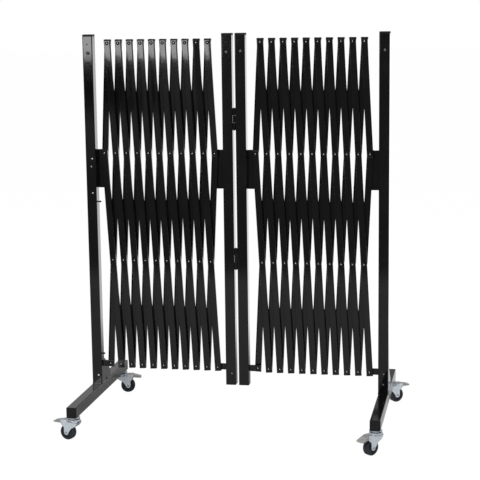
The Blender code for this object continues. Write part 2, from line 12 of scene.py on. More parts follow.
import bmesh
import bpy
import numpy as np
from mathutils import Matrix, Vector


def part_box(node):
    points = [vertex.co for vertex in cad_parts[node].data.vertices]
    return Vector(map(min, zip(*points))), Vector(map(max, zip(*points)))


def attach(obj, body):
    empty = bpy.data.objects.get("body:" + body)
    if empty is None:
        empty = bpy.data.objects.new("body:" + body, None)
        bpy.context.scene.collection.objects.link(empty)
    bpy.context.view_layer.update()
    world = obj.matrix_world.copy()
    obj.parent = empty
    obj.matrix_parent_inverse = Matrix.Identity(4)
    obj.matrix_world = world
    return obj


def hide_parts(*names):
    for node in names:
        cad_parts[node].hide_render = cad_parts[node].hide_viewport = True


scene = bpy.context.scene
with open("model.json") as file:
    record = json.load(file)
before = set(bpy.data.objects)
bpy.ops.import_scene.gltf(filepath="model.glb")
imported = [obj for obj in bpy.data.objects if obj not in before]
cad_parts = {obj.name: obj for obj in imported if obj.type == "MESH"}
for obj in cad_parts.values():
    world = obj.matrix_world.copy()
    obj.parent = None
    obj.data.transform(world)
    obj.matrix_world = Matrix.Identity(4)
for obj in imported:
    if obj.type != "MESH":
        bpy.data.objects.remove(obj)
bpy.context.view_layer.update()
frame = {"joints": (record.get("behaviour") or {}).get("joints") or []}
joints = {item["name"]: item for item in frame["joints"]}


def place(name):
    """A joint's position as an array."""
    return np.array(joints[name]["pos_m"], float)


# %% [markdown]
# ## Places read from the joints
#
# A scissor panel is a row of equal cells.  The ends of its lowest row give the cell
# width, the row above gives the height of half a diamond, and the lean of a slat
# follows from both.

# %% Places of the panels
CELLS = 10
ROWS = {4: place("right_panel_open")[2], 3: place("right_row3_pivot_01")[2]}
RISE = ROWS[3] - ROWS[4]
ROWS[2], ROWS[1] = ROWS[3] + RISE, ROWS[3] + 2 * RISE
PANEL_START = {"left": place("left_end_pivot")[0], "right": place("right_panel_open")[0]}
PANEL_END = {"left": place("left_panel_open")[0], "right": place("right_end_pivot")[0]}
CELL = (PANEL_END["left"] - PANEL_START["left"]) / CELLS
LEAN = np.arctan2(CELL / 2, RISE)
PITCH = RISE / np.cos(LEAN)
MID_Y = place("right_panel_open")[1]
HINGE = place("centre_fold")
print("cell", round(CELL, 4), "pitch", round(PITCH, 4), "lean", round(np.degrees(LEAN), 2))

# %% [markdown]
# ## The camera
#
# The photograph was taken from the right of the middle and a little above the top, from
# far enough that the posts stay almost parallel.  A place, three angles and a focal
# length in pixels can be fitted to a picture.

# %% Camera
IMAGE_PX = 480
FOCAL_PX = 1374.0
SENSOR = 36.0
EYE_SIDE, EYE_BACK, EYE_HEIGHT = 0.996, 5.173, 1.592
YAW, DIP, ROLL = np.radians((-10.72, 9.31, 0.75))

ahead = np.array((np.sin(YAW) * np.cos(DIP), np.cos(YAW) * np.cos(DIP), -np.sin(DIP)))
level_right = np.array((np.cos(YAW), -np.sin(YAW), 0.0))
level_down = np.cross(ahead, level_right)
right = np.cos(ROLL) * level_right + np.sin(ROLL) * level_down
down = -np.sin(ROLL) * level_right + np.cos(ROLL) * level_down
eye = np.array((HINGE[0] + EYE_SIDE, HINGE[1] - EYE_BACK, EYE_HEIGHT))
view = np.eye(4)
view[:3] = np.stack([right, -down, -ahead, eye], -1)
camera_data = bpy.data.cameras.new("camera")
camera_data.lens = SENSOR * FOCAL_PX / IMAGE_PX
camera_data.sensor_width = SENSOR
camera = bpy.data.objects.new("camera", camera_data)
camera.matrix_world = Matrix(view.tolist())
scene.collection.objects.link(camera)
scene.camera = camera
print("lens", round(camera_data.lens, 1), "mm")

# %% [markdown]
# ## Shader sums as Python sums
#
# A tree of small sums is hard to read.  This class wraps one socket, and its operators
# add Math nodes, so that a mask is an expression.


# %% Signals
def maths(operation, swapped=False):
    """A method that adds one Math node, its inputs swapped if asked."""
    def method(self, other):
        first, second = (other, self) if swapped else (self, other)
        return self.node("ShaderNodeMath", {0: first, 1: second}, operation=operation)
    return method


class Signal:
    """One socket of a node tree, with sums, products and ratios as Math nodes."""

    __add__ = __radd__ = maths("ADD")
    __mul__ = __rmul__ = maths("MULTIPLY")
    __sub__, __rsub__, __truediv__ = maths("SUBTRACT"), maths("SUBTRACT", True), maths("DIVIDE")

    def __init__(self, tree, socket=None):
        self.tree, self.socket = tree, socket

    def feed(self, socket, value):
        """Link a signal to a socket, or write a plain value into it."""
        if isinstance(value, Signal):
            self.tree.links.new(value.socket, socket)
        else:
            socket.default_value = value

    def node(self, kind, inputs=None, output=0, **settings):
        """Add a node: its settings, then values or links by socket name or number."""
        made = self.tree.nodes.new(kind)
        for key, value in settings.items():
            setattr(made, key, value)
        for key, value in (inputs or {}).items():
            self.feed(made.inputs[key], value)
        return Signal(self.tree, made.outputs[output])

    def ramp(self, low, high):
        """0 up to low, 1 from high on, and an even slope between."""
        return self.node("ShaderNodeMapRange", {"Value": self, "From Min": low, "From Max": high})

    def mix(self, zero, one):
        """A colour from zero to one, by this signal."""
        return self.node("ShaderNodeMix", {0: self, 6: zero, 7: one}, data_type="RGBA", output=2)

    def blend(self, zero, one):
        """A shader from zero to one, by this signal."""
        return self.node("ShaderNodeMixShader", {0: self, 1: zero, 2: one})

    def axes(self):
        """The X, Y and Z of a vector."""
        return [self.node("ShaderNodeSeparateXYZ", {0: self}, output=axis) for axis in range(3)]

    def grey(self):
        """This signal as a grey colour."""
        return self.node("ShaderNodeCombineXYZ", {0: self, 1: self, 2: self})


def rgb(red, green, blue):
    """An opaque colour."""
    return (red, green, blue, 1.0)


# %% Helpers for finishes
def new_finish(name):
    """A new material: (material, its tree, its Principled shader, Object coordinates)."""
    made = bpy.data.materials.new(name)
    made.use_nodes = True
    tree = Signal(made.node_tree)
    where = tree.node("ShaderNodeTexCoord", output="Object")
    return made, tree, made.node_tree.nodes["Principled BSDF"], where


def wire(tree, shader, **inputs):
    """Feed the shader's sockets; _ stands for a space."""
    for key, value in inputs.items():
        tree.feed(shader.inputs[key.replace("_", " ")], value)


def tag(tree, name):
    """A value that each point carries."""
    return tree.node("ShaderNodeAttribute", attribute_name=name, output="Fac")


def noise(tree, where, scale, detail, roughness=0.5):
    """Noise with about `scale` features a metre."""
    inputs = {"Vector": where, "Scale": scale, "Detail": detail, "Roughness": roughness}
    return tree.node("ShaderNodeTexNoise", inputs)


def peel(tree, where, size, strength, distance, under=None):
    """A Bump node on noise of about `size` metres, over the bump under it."""
    inputs = {"Height": noise(tree, where, 1 / size, 2.0), "Strength": strength, "Distance": distance}
    if under is not None:
        inputs["Normal"] = under
    return tree.node("ShaderNodeBump", inputs)


# %% [markdown]
# ## The black coat
#
# Posts and slats carry a gloss black powder coat: a fine orange peel about a millimetre
# across, a slow waviness of the steel under it, and a veil of dust, each from a noise.
# Caps and rivets are in the same meshes, so two values on the points say how plastic or
# how bare each place is.

# %% Black coat
MOULDED = rgb(0.005, 0.005, 0.0056)
METAL_DARK, METAL_LIGHT = rgb(0.72, 0.71, 0.69), rgb(0.9, 0.89, 0.87)
VEIL = 0.003
DUST_SCALE, FINE_SCALE = 9.0, 420.0
WAVE_SIZE, PEEL_SIZE = 0.05, 0.0011


def black_coat(name, colour, gloss):
    """Powder coat: bare metal where `bare` is 1 and moulded plastic where `plastic` is 1.

    Roughness is the coat's gloss plus a share each of dust, plastic, metal and fine noise.
    """
    made, tree, shader, where = new_finish(name)
    bare, plastic = tag(tree, "bare"), tag(tree, "plastic")
    dust = noise(tree, where, DUST_SCALE, 5.0, 0.62).ramp(0.48, 0.74)
    fine = noise(tree, where, FINE_SCALE, 2.0)
    coat = dust.mix(rgb(*colour), rgb(*(part + VEIL for part in colour)))
    metal = fine.ramp(0.3, 0.7).mix(METAL_DARK, METAL_LIGHT)
    shown = bare.mix(plastic.mix(coat, MOULDED), metal)
    rough = gloss + dust * 0.02 + plastic * 0.64 + bare * 0.27 + fine * 0.015
    wave = peel(tree, where, WAVE_SIZE, 0.09, 0.001)
    skin = peel(tree, where, PEEL_SIZE, 0.07, 0.00004, wave)
    wire(tree, shader, Base_Color=shown, Roughness=rough, Metallic=bare * 0.35, Normal=skin)
    return made


POST_COAT = black_coat("post_coat", (0.0036, 0.0036, 0.004), 0.052)
SLAT_COAT = black_coat("slat_coat", (0.0038, 0.0038, 0.0044), 0.046)
print("coats", POST_COAT.name, SLAT_COAT.name)

# %% [markdown]
# ## Zinc and rubber
#
# The forks and pedals are pressed from zinc-plated sheet, light and a little blue, with
# a soft grain and darker patches.  The wheels have a scuffed black tyre round a smooth
# core.  Each is a noise on the piece's own coordinates, so it turns with the castor.

# %% Zinc and tyre
SEAL_BLACK = rgb(0.02, 0.02, 0.022)
TYRE_NEW, TYRE_WORN = rgb(0.018, 0.021, 0.03), rgb(0.034, 0.037, 0.046)
CORE_BLACK, WASHER_STEEL = rgb(0.02, 0.023, 0.032), rgb(0.55, 0.56, 0.58)


def zinc(name, light, dark, gloss):
    """Plated steel, drifting in colour and roughness; seals where `plastic` is 1."""
    made, tree, shader, where = new_finish(name)
    plastic = tag(tree, "plastic")
    cloud = noise(tree, where, 60.0, 4.0, 0.6)
    grain = noise(tree, where, 900.0, 2.0)
    tone = (cloud * 0.75 + grain * 0.25).ramp(0.32, 0.62)
    colour = plastic.mix(tone.mix(rgb(*dark), rgb(*light)), SEAL_BLACK)
    rough = gloss + cloud * 0.1 + plastic * 0.2
    skin = peel(tree, where, 0.0016, 0.12, 0.00012)
    wire(tree, shader, Base_Color=colour, Roughness=rough, Metallic=(1 - plastic) * 0.3, Normal=skin)
    return made


def rubber(name):
    """Tyre, its core where `plastic` is 1 and steel washers where `bare` is 1."""
    made, tree, shader, where = new_finish(name)
    core, bare = tag(tree, "plastic"), tag(tree, "bare")
    worn = noise(tree, where, 180.0, 5.0, 0.65).ramp(0.5, 0.72)
    colour = bare.mix(core.mix(worn.mix(TYRE_NEW, TYRE_WORN), CORE_BLACK), WASHER_STEEL)
    rough = 0.48 + worn * 0.14 - core * 0.14 - bare * 0.1
    skin = peel(tree, where, 0.0009, 0.25, 0.00015)
    wire(tree, shader, Base_Color=colour, Roughness=rough, Metallic=bare * 0.9, Normal=skin)
    return made


ZINC = zinc("zinc_plate", (0.76, 0.82, 0.87), (0.62, 0.69, 0.76), 0.3)
PEDAL_ZINC = zinc("pedal_zinc", (0.44, 0.44, 0.435), (0.32, 0.32, 0.32), 0.36)
WHEEL_BLACK = rubber("wheel_black")
print("castor finishes", ZINC.name, PEDAL_ZINC.name, WHEEL_BLACK.name)

# %% [markdown]
# ## Loops and shells
#
# Almost every piece is a loop of points carried along a line.  A loop keeps its outward
# normals, so a rounded edge is the same loop again, set in by a quarter circle.  Rings
# just inside each flat keep it from being shaded like a pillow.  A Bevel modifier could
# do it too, but arcs say how large they are.

# %% Loops
HOLD, FINE_HOLD, TINY_HOLD = 0.0005, 0.0003, 0.0002


def corner_loop(corners, radii, steps=4, hold=HOLD):
    """Round a polygon's corners: each becomes an arc of its radius between two held points.

    An arc begins radius * tan(half the turn) before its corner, its centre is one radius
    to the side of that, and its points are centre + radius * normal.
    """
    corners = np.asarray(corners, float)
    before = corners - np.roll(corners, 1, 0)
    before /= np.linalg.norm(before, axis=1)[:, None]
    after = np.roll(before, -1, 0)
    normal_in = np.stack([before[:, 1], -before[:, 0]], -1)
    turn = np.arctan2(before[:, 0] * after[:, 1] - before[:, 1] * after[:, 0], (before * after).sum(1))
    radii = np.broadcast_to(radii, len(corners)).astype(float)
    reach, bend = radii * np.tan(np.abs(turn) / 2), (radii * np.sign(turn))[:, None]
    centre = corners - before * reach[:, None] - normal_in * bend
    start = np.arctan2(normal_in[:, 1], normal_in[:, 0])
    angle = start[:, None] + turn[:, None] * np.linspace(0, 1, steps + 1)
    normal = np.stack([np.cos(angle), np.sin(angle)], -1)
    arc = centre[:, None] + normal * bend[:, None]
    first = corners - before * (reach + hold)[:, None]
    last = corners + after * (reach + hold)[:, None]
    points = np.concatenate([first[:, None], arc, last[:, None]], 1)
    normals = np.concatenate([normal_in[:, None], normal, np.roll(normal_in, -1, 0)[:, None]], 1)
    return points.reshape(-1, 2), normals.reshape(-1, 2)


def square_loop(half_x, half_y, radius, steps=4, hold=HOLD):
    """A rounded rectangle, anticlockwise."""
    corners = [(half_x, -half_y), (half_x, half_y), (-half_x, half_y), (-half_x, -half_y)]
    return corner_loop(corners, radius, steps, hold)


def turns(count):
    """Evenly spaced angles of one turn."""
    return np.arange(count) * 2 * np.pi / count


def circle_loop(radius, count=24):
    """A circle, anticlockwise."""
    normal = np.stack([np.cos(turns(count)), np.sin(turns(count))], -1)
    return normal * radius, normal


def channel_loop(half, inner, low, high, deck, radii, steps):
    """A channel's closed outline (across, up): up one side, over the top, down and back inside.

    The radii are those of the lips, the outer bends and the inner ones.
    """
    lip, bend, fillet = radii
    corners = [(half, low), (half, high), (-half, high), (-half, low),
               (-inner, low), (-inner, deck), (inner, deck), (inner, low)]
    return corner_loop(corners, [lip, bend, bend, lip, lip, fillet, fillet, lip], steps, FINE_HOLD)


def rounded_ends(low, high, edge, steps=3, hold=HOLD):
    """(height, inset) rows between two heights, each rim a quarter circle of `edge`.

    inset = edge (1 - sin a) and height = edge (1 - cos a), with a holding ring at both ends.
    """
    a = np.linspace(0, np.pi / 2, steps + 1)
    inset, height = edge * (1 - np.sin(a)), edge * (1 - np.cos(a))
    foot = np.concatenate([[[0, edge + hold]], np.stack([height, inset], -1), [[edge + hold, 0]]])
    rows = np.concatenate([foot, foot[::-1] * (-1, 1)])
    rows[:len(foot), 0] += low
    rows[len(foot):, 0] += high
    return rows


print("points of a rounded square", len(square_loop(1, 1, 0.1)[0]))

# %% [markdown]
# ## One mesh for each piece
#
# A post is one welded thing, so its parts are collected in one mesh.  Each is closed by
# itself, and they overlap as welded steel does.  A part is worked out flat, as (across,
# up, height), and then put in its place.

# %% Shells
SHARP = np.radians(40)


class Shell:
    """The closed surfaces of one piece, and how bare or plastic each point is."""

    def __init__(self):
        self.points, self.faces, self.tags, self.count = [], [], [], 0

    def grid(self, points, around=True, closed=False, bare=0.0, plastic=0.0):
        """Quads of a (rows, columns, 3) grid.

        around joins the last column to the first.  closed joins the rows too; without it the
        first and the last row are capped.
        """
        points = np.asarray(points, float)
        rows, columns = points.shape[:2]
        i = np.arange(rows if closed else rows - 1)[:, None]
        j = np.arange(columns if around else columns - 1)[None, :]
        k, m = (i + 1) % rows, (j + 1) % columns
        quads = np.stack([i * columns + j, i * columns + m, k * columns + m, k * columns + j], -1)
        self.faces += (quads.reshape(-1, 4) + self.count).tolist()
        if around and not closed:
            ring = np.arange(columns) + self.count
            self.faces += [ring[::-1].tolist(), (ring + (rows - 1) * columns).tolist()]
        self.points.append(points.reshape(-1, 3))
        tags = np.broadcast_to(np.stack(np.broadcast_arrays(bare, plastic), -1), (rows, columns, 2))
        self.tags.append(tags.reshape(-1, 2))
        self.count += rows * columns

    def block(self, loop, rows, put, **tags):
        """A loop carried through (height, inset) rows, inset along its normals."""
        points, normals = loop
        flat = points[None] - normals[None] * rows[:, 1, None, None]
        height = np.broadcast_to(rows[:, 0, None], flat.shape[:2])
        self.grid(put(flat[..., 0], flat[..., 1], height), **tags)

    def turned(self, profile, put, count=24, **tags):
        """A (radius, height) profile turned: across = radius cos a, up = radius sin a."""
        profile, angle = np.asarray(profile, float), turns(count)
        across, up = profile[:, :1] * np.cos(angle), profile[:, :1] * np.sin(angle)
        self.grid(put(across, up, profile[:, 1:2] + 0 * angle), **tags)

    def link(self, name):
        """Everything collected, as one object in the scene."""
        mesh = bpy.data.meshes.new(name)
        mesh.from_pydata(np.concatenate(self.points).tolist(), [], self.faces)
        obj = bpy.data.objects.new(name, mesh)
        scene.collection.objects.link(obj)
        return obj

    def piece(self, name, finish, body, slot, *nodes):
        """Make the object, and say what it rides on and stands for."""
        obj = self.link(name)
        mesh = obj.data
        tags = np.concatenate(self.tags).astype(np.float32)
        for column, key in enumerate(("bare", "plastic")):
            values = np.ascontiguousarray(tags[:, column])
            mesh.attributes.new(key, "FLOAT", "POINT").data.foreach_set("value", values)
        work = bmesh.new()
        work.from_mesh(mesh)
        bmesh.ops.recalc_face_normals(work, faces=work.faces)
        work.to_mesh(mesh)
        work.free()
        mesh.shade_smooth()
        mesh.set_sharp_from_angle(angle=SHARP)
        mesh.materials.append(finish)
        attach(obj, body)
        if nodes:
            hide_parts(*nodes)


def upright(x, y):
    """Across is +X, up is +Y, height is +Z, about a vertical line."""
    return lambda a, b, h: np.stack([x + a, y + b, h + 0 * a], -1)


def facing(way, x, z, y=MID_Y):
    """Across is +X, up is +Z; height goes from the depth y to the front (-1) or rear (+1)."""
    return lambda a, b, h: np.stack([x + a, y + way * h, z + b], -1)


def sideways(x, y, z):
    """Across is +Y, up is +Z, height is +X."""
    return lambda a, b, h: np.stack([x + h, y + a, z + b], -1)


# %% [markdown]
# ## A slat
#
# A slat is a shallow channel rolled from strip, about 25 by 10 mm, its open side to the
# layer behind.  Its section is the same all along, so it is a profile on a path.

# %% Slat section
SLAT_HALF = 0.0125
SLAT_LAYER, SLAT_DEPTH = 0.00015, 0.01
SLAT_OUT = SLAT_LAYER + SLAT_DEPTH
SLAT_WALL = 0.0016
SLAT_END = 0.015
ROLL_RADIUS, LIP_RADIUS, INNER_RADIUS = 0.0026, 0.0004, 0.001
SECTION = channel_loop(SLAT_HALF, SLAT_HALF - SLAT_WALL, SLAT_LAYER, SLAT_OUT, SLAT_OUT - SLAT_WALL,
                       (LIP_RADIUS, ROLL_RADIUS, INNER_RADIUS), 4)[0]
print("slat section points", len(SECTION))

# %% [markdown]
# ## Rivets and end caps
#
# Blind rivets join the slats: a painted flange, with the broken end of the bright
# mandrel in its hollow.  That is one turned profile whose last points are bare.  Each
# end of a slat has a black moulded cap, a hair proud of the channel.

# %% Rivets
RIVET_R, RIVET_SIDES = 0.003, 20
HEAD_R, HEAD_H = 0.0072, 0.0018
CORE_R = 0.002
STEM_FROM = -SLAT_OUT + SLAT_WALL + 0.0006
TAIL_REACH = SLAT_OUT + 0.00025
PLATE_IN, PLATE_T = SLAT_OUT + 0.0003, 0.003
GUIDE_REACH = PLATE_IN + PLATE_T + 0.0003

FLANGE = [(HEAD_R, -0.0003), (HEAD_R, 0.0001), (HEAD_R * 0.94, 0.0005), (HEAD_R * 0.78, 0.001),
          (HEAD_R * 0.6, 0.0014), (HEAD_R * 0.42, HEAD_H), (CORE_R * 1.06, 0.0014), (CORE_R * 1.02, 0.0009)]
MANDREL = [(CORE_R * 0.98, 0.001), (CORE_R * 0.85, 0.0014), (CORE_R * 0.5, 0.0017), (CORE_R * 0.08, 0.00178)]
HEAD_PROFILE = np.array(FLANGE + MANDREL)
TAIL_PROFILE = np.array([(HEAD_R * 0.4, 0.0), (HEAD_R, 0.0), (HEAD_R, 0.0003), (HEAD_R * 0.9, 0.0011),
                         (HEAD_R * 0.6, 0.0016), (HEAD_R * 0.1, HEAD_H)])
SHINE = np.array([0.0] * (len(FLANGE) + 1) + [0.35] + [1.0] * len(MANDREL))[:, None]


def rivet(shell, x, z, outward, base, proud=0.0, guide=False):
    """A rivet with its head on `base`, outward; a guide's shank goes through the plate."""
    front, back = facing(outward, x, z), facing(-outward, x, z)
    stem = [(RIVET_R, STEM_FROM), (RIVET_R, base - 0.0005)]
    shell.turned(np.concatenate([stem, HEAD_PROFILE + (0, base + proud)]), front, RIVET_SIDES, bare=SHINE)
    if guide:
        shell.turned([(RIVET_R, 0.0), (RIVET_R, GUIDE_REACH)], back, RIVET_SIDES)
    shell.turned(TAIL_PROFILE + (0, GUIDE_REACH if guide else TAIL_REACH), back, RIVET_SIDES)


# %% End caps
CAP_LENGTH, CAP_EDGE, CAP_PROUD = 0.0065, 0.0008, 0.0001
CAP_HALF = SLAT_DEPTH / 2 + CAP_PROUD
cap_points, cap_normals = square_loop(SLAT_HALF + 2 * CAP_PROUD, CAP_HALF, ROLL_RADIUS, 3, FINE_HOLD)
flush_behind = np.where(cap_points[:, 1:2] < 0, (1, (CAP_HALF - CAP_PROUD) / CAP_HALF), (1, 1))
END_CAP = (cap_points * flush_behind, cap_normals)
print("end cap points", len(END_CAP[0]))

# %% [markdown]
# ## The slat itself
#
# Rolled strip is never quite flat: each slat gets a crown, a slow bow and a slight
# twist, a few tenths of a millimetre in all, so the light breaks differently on each.
# Only the face is crowned and twisted, and the lips stay flat on the layer behind.

# %% Build a slat
STATIONS = 13
END_INSET = 0.0006
CROWN = 0.0001
BOW, SWAY, ROLL_WAVE = 0.00022, 0.00012, 0.004
FACE_FROM, FACE_OVER = 0.006, 0.003
MID_DEPTH = (SLAT_LAYER + SLAT_OUT) / 2
chance = np.random.default_rng(7)


def slat(name, foot, lean, outward, pivots, twist, rivets, guide_at=None):
    """One slat from its lowest pivot `foot`, leaning by `lean`, its face to `outward`.

    Across grows by BOW sin(pi s) and SWAY sin(2 pi s), s the share of the length; the face's
    depth grows by CROWN (1 - (across / half) squared) + roll * across.
    """
    along = np.array((np.sin(lean), 0.0, np.cos(lean)))
    across = np.array((np.cos(lean), 0.0, -np.sin(lean)))
    out = np.array((0.0, outward, 0.0))
    length = (pivots - 1) * PITCH
    u = np.linspace(-SLAT_END + END_INSET, length + SLAT_END - END_INSET, STATIONS)
    share = np.linspace(0, 1, STATIONS)
    phase = chance.uniform(0, 2 * np.pi, 3)
    bow = BOW * np.sin(np.pi * share) * np.sin(phase[0]) + SWAY * np.sin(2 * np.pi * share + phase[1])
    roll = twist + ROLL_WAVE * np.sin(np.pi * 1.3 * share + phase[2])
    w, d = SECTION.T
    face = np.clip((d - FACE_FROM) / FACE_OVER, 0, 1)
    depth = d + face * (CROWN * (1 - (w / SLAT_HALF) ** 2) + roll[:, None] * w)
    width = w + bow[:, None]
    shell = Shell()
    shell.grid(foot + u[:, None, None] * along + width[..., None] * across + depth[..., None] * out)

    def put(a, b, h):
        return foot + h[..., None] * along + a[..., None] * across + (b[..., None] + MID_DEPTH) * out
    for low in (-SLAT_END, length + SLAT_END - CAP_LENGTH):
        ends = rounded_ends(low, low + CAP_LENGTH, CAP_EDGE, 2, FINE_HOLD)
        shell.block(END_CAP, ends, put, plastic=1.0)
    for index in rivets:
        at = foot + index * PITCH * along
        rivet(shell, at[0], at[2], outward, SLAT_OUT, CROWN, index == guide_at)
    shell.piece(name + "_steel", SLAT_COAT, name, "slat_black", name)


# %% [markdown]
# ## The two panels
#
# Front slats lean to the left and back slats to the right, one cell apart.  The first
# and last of each layer end at a post and are short.  A front slat's twist decides
# whether it catches the light, so it is written down, in radians; the back ones are
# drawn from a fixed seed.

# %% Panels
FRONT_TWIST = {"left": [0.006, -0.004, 0.005, 0.000, -0.006, 0.004, -0.003, 0.006, 0.004, -0.033, 0.008],
               "right": [0.004, -0.005, 0.002, 0.006, -0.004, 0.001, -0.006, 0.005, -0.002, 0.004, -0.003]}
BACK_TWIST = 0.006


def panel(side):
    """Twenty-two slats, counted by cells from the panel's first pivot."""
    x0 = PANEL_START[side]
    for j in range(1, CELLS + 2):
        last, first = j == CELLS + 1, j == 1
        foot = np.array((x0 + min(j, CELLS) * CELL, MID_Y, ROWS[2 if last else 4]))
        count = 2 if last else 3 if first else 4
        guide = 0 if last else 2 if first else None
        twist = FRONT_TWIST[side][j - 1]
        slat(f"{side}_slat_front_{j:02d}", foot, -LEAN, -1, count, twist, range(count), guide)
    for j in range(-1, CELLS):
        first, last = j == -1, j == CELLS - 1
        foot = np.array((x0 + max(j, 0) * CELL, MID_Y, ROWS[2 if first else 4]))
        count = 2 if first else 3 if last else 4
        twist = chance.uniform(-BACK_TWIST, BACK_TWIST)
        slat(f"{side}_slat_back_{j + 2:02d}", foot, LEAN, 1, count, twist, ())
    print(side, "panel with", 2 * (CELLS + 1), "slats")


panel("left")
panel("right")

# %% [markdown]
# ## Posts, welds and screws
#
# A post is a 40 mm square tube with a moulded cap, a few pan-head screws and, over a
# foot, a wavy bead of weld: a small circle swept round the tube, its ripples a sine.  A
# screw's inner rings turn from circle to hexagon.

# %% Measures of the posts
POST_HALF = 0.02
TUBE_ROUND, CAP_ROUND = 0.0034, 0.004
POST_CAP_H = 0.0085
PIVOT_OUT = 0.034
WELD_GAP, WELD_RIPPLE, WELD_SWELL, WELD_FLAT = 0.0011, 0.0042, 0.16, 0.9


def post_axis(node):
    """Middle of a post in X, and its lowest and highest Z."""
    low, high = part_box(node)
    side, off = node.split("_")[0], POST_HALF + PIVOT_OUT
    at_start = node in ("left_end_post", "right_centre_post")
    return PANEL_START[side] - off if at_start else PANEL_END[side] + off, low[2], high[2]


def resample(loop, gap=None, count=None):
    """(length along, points, normals) in even steps round a loop."""
    points, normals = (np.vstack([part, part[:1]]) for part in loop)
    s = np.concatenate([[0], np.cumsum(np.linalg.norm(np.diff(points, axis=0), axis=1))])
    count = count or int(s[-1] / gap)
    t = np.arange(count) * s[-1] / count
    x, n = (np.stack([np.interp(t, s, part[:, i]) for i in (0, 1)], -1) for part in (points, normals))
    return t, x, n


def weld(shell, loop, z, put, radius):
    """A bead round a loop: a circle of radius * (1 + WELD_SWELL |sin|) at each step."""
    t, x, n = resample(loop, gap=WELD_GAP)
    swell = radius * (1 + WELD_SWELL * np.abs(np.sin(t / WELD_RIPPLE * np.pi)))
    angle = np.linspace(0, 2 * np.pi, 8, endpoint=False)
    away = swell[:, None] * np.cos(angle) * WELD_FLAT
    height = z + swell[:, None] * np.sin(angle)
    shell.grid(put(x[:, :1] + n[:, :1] * away, x[:, 1:] + n[:, 1:] * away, height), closed=True)


# %% Screws and buttons
SCREW_SIDES, SCREW_SUNK = 24, 0.0004

# In a post's front face: off the axis, height, radius, rise and how worn to the metal
FRONT_SCREWS = {
    "left_end_post": [(0.0021, 1.4527, 0.0076, 0.003, 0.05), (-0.0012, 1.4868, 0.003, 0.0014, 0.1),
                      (0.0062, 0.1694, 0.0038, 0.0014, 0.95), (0.0065, 1.0427, 0.003, 0.0012, 0.95),
                      (0.0023, 1.0116, 0.0026, 0.001, 0.8), (0.0047, 0.9072, 0.0028, 0.0012, 0.9)],
    "left_centre_post": [(-0.0008, 1.4531, 0.005, 0.0012, 0.12), (0.004, 0.1957, 0.004, 0.0006, 0.16)],
    "right_centre_post": [(0.0022, 1.4564, 0.005, 0.0012, 0.12)],
    "right_end_post": [(0.002, 1.4557, 0.0046, 0.0014, 0.16), (0.0018, 0.2138, 0.0036, 0.001, 0.14),
                       (0.0000, 0.1719, 0.0036, 0.001, 0.14)]}

# Plastic buttons on the left end post, facing the lattice: off the axis, behind the middle,
# height, radius and rise.  The last one closes a hole in the gusset cheek.
SIDE_BUTTONS = [(0.02, 0.0000, 0.8711, 0.0036, 0.0125), (0.02, 0.0000, 0.2553, 0.0036, 0.0105),
                (0.01875, 0.051, 0.139, 0.0042, 0.0022)]


def screw(shell, put, radius, height, bare):
    """A pan head and its socket: a hexagon's radius is cos 30 / cos(angle from its flat)."""
    angle, thirty = turns(SCREW_SIDES), np.pi / 6
    hexagon = np.cos(thirty) / np.cos((angle + thirty) % (2 * thirty) - thirty)
    rings = [(1.0, -SCREW_SUNK, 0), (1.0, 0.15 * height, 0), (0.88, 0.5 * height, 0),
             (0.66, 0.88 * height, 0), (0.54, height, 0), (0.48, height, 1), (0.44, 0.9 * height, 1),
             (0.42, 0.3 * height, 1), (0.1, 0.2 * height, 1)]
    radial = np.array([radius * share * (hexagon if six else 1 + 0 * angle) for share, _, six in rings])
    depth = np.array([h for _, h, _ in rings])[:, None] + 0 * radial
    shell.grid(put(radial * np.cos(angle), radial * np.sin(angle), depth), bare=bare)


def side_button(shell, axis, off, back, z, radius, rise):
    """A stem with a rounded head, out of the side towards the lattice."""
    profile = [(0.75, -0.0004), (0.75, rise * 0.45), (1.0, rise * 0.55), (1.0, rise * 0.8),
               (0.7, rise * 0.97), (0.15, rise)]
    put = sideways(axis + off, MID_Y + back, z)
    shell.turned(np.array(profile) * (radius, 1.0), put, 16, plastic=1.0)


print("posts with front screws", len(FRONT_SCREWS), "buttons", len(SIDE_BUTTONS))

# %% [markdown]
# ## Guide plates and pivot tabs
#
# The second row of pivots slides down in a slotted plate as the panel opens, while the
# lowest row turns in a fixed tab.  The plate's surface runs once round the metal, with
# as many points round the slot as outside, which needs no boolean.

# %% Plates and tabs
PLATE_EDGE, PLATE_ROUND, PLATE_RIM = 0.01, 0.003, 0.0004
PLATE_RISE, PLATE_DROP = 0.013, 0.139
SLOT_DROP, SLOT_RISE, SLOT_R = 0.122, 0.0015, 0.0033
PLATE_POINTS = 144
TAB_T, TAB_HALF, TAB_ROUND = 0.005, 0.0125, 0.004


def even_loop(loop):
    """The loop in PLATE_POINTS even steps, with unit normals."""
    _, points, normals = resample(loop, count=PLATE_POINTS)
    return points, normals / np.linalg.norm(normals, axis=1)[:, None]


def slotted(shell, outer, inner, put):
    """A plate with one opening: rings up the outside, over the front, down the slot and back."""
    rows = np.delete(rounded_ends(-PLATE_T / 2, PLATE_T / 2, PLATE_RIM, 2), (4, 5), 0)
    sides = ((outer, 1), (inner, -1))
    flat = np.array([loop[0] - way * by * loop[1] for loop, way in sides for by in rows[:, 1]])
    heights = np.concatenate([rows[:, 0], -rows[:, 0]])[:, None] + 0 * flat[..., 0]
    shell.grid(put(flat[..., 0], flat[..., 1], heights), closed=True)


